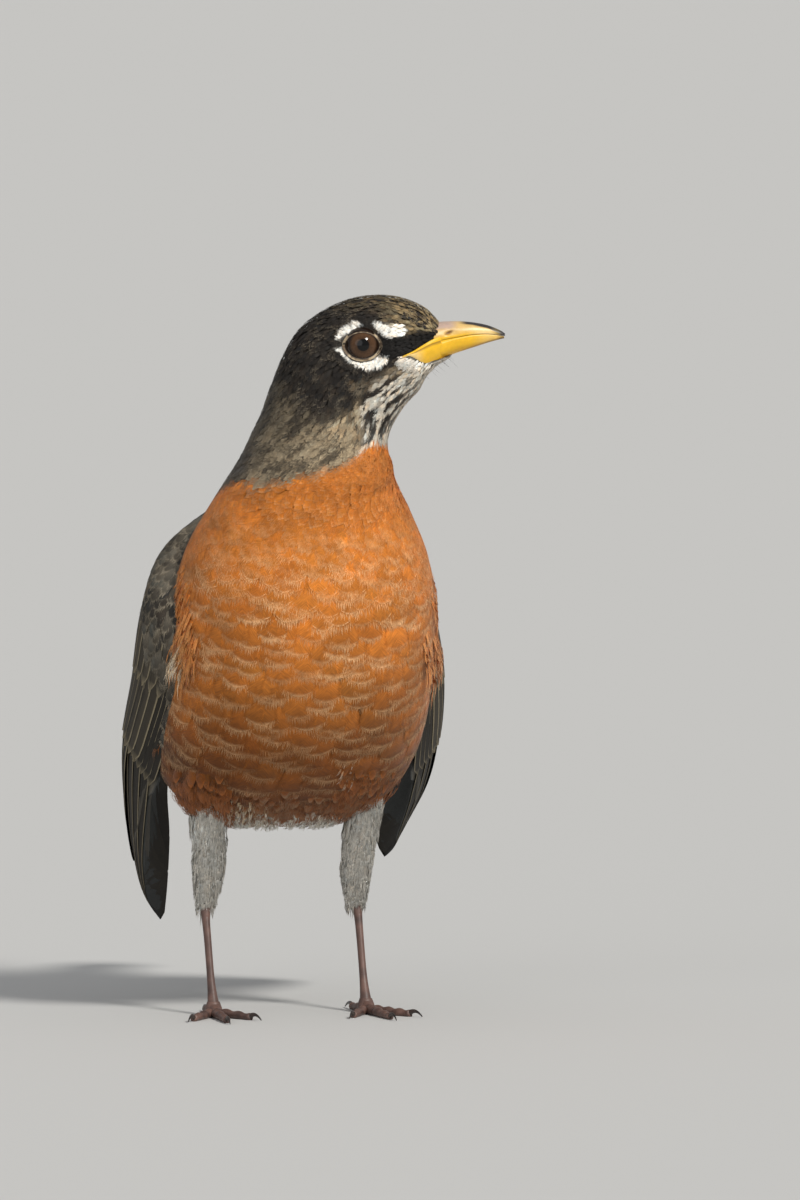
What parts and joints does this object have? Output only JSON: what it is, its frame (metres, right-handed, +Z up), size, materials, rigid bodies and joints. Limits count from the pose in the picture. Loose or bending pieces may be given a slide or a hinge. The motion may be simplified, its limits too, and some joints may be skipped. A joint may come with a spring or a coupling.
{
  "type": "american robin",
  "caption": "Life-size American robin standing upright on both feet, head turned in profile over its left shoulder, wings drooped beside a rounded rust-orange breast.",
  "frame": {"origin": "middle of the base of the bounding box, on the surface the bird stands on", "axes": "+Z up, the longest extent; the breast faces about -Y, turned 14 degrees towards +X; the bird's left is at +X, and the bill points along +X"},
  "size_m": [0.105, 0.1654, 0.1972],
  "materials": {
    "hood": "matte black head feathers with white marks round the eye and on the throat",
    "nape": "matte grey-brown feathers",
    "breast": "matte rust-orange feathers with thin pale fringes",
    "flight": "satin blackish flight feathers with thin pale edges",
    "thigh": "matte light grey down",
    "bill": "satin yellow-orange horn, dusky along the ridge and at the tip",
    "eye": "wet gloss, dark brown iris and black pupil",
    "leg": "satin dark pinkish-brown scales",
    "claw": "satin blackish horn"
  },
  "bodies": {
    "root": {"head": "hood", "neck": "nape", "trunk": "breast", "tail": "flight", "bill_upper": "bill", "bill_lower": "bill", "eye_left": "eye", "eye_right": "eye", "wing_left_coverts": "flight", "wing_left_secondaries": "flight", "wing_left_primaries": "flight", "thigh_left": "thigh", "shank_left": "leg", "foot_left": "leg", "claw_left_inner": "claw", "claw_left_middle": "claw", "claw_left_outer": "claw", "claw_left_hind": "claw", "wing_right_coverts": "flight", "wing_right_secondaries": "flight", "wing_right_primaries": "flight", "thigh_right": "thigh", "shank_right": "leg", "foot_right": "leg", "claw_right_inner": "claw", "claw_right_middle": "claw", "claw_right_outer": "claw", "claw_right_hind": "claw"}
  },
  "joints": []
}
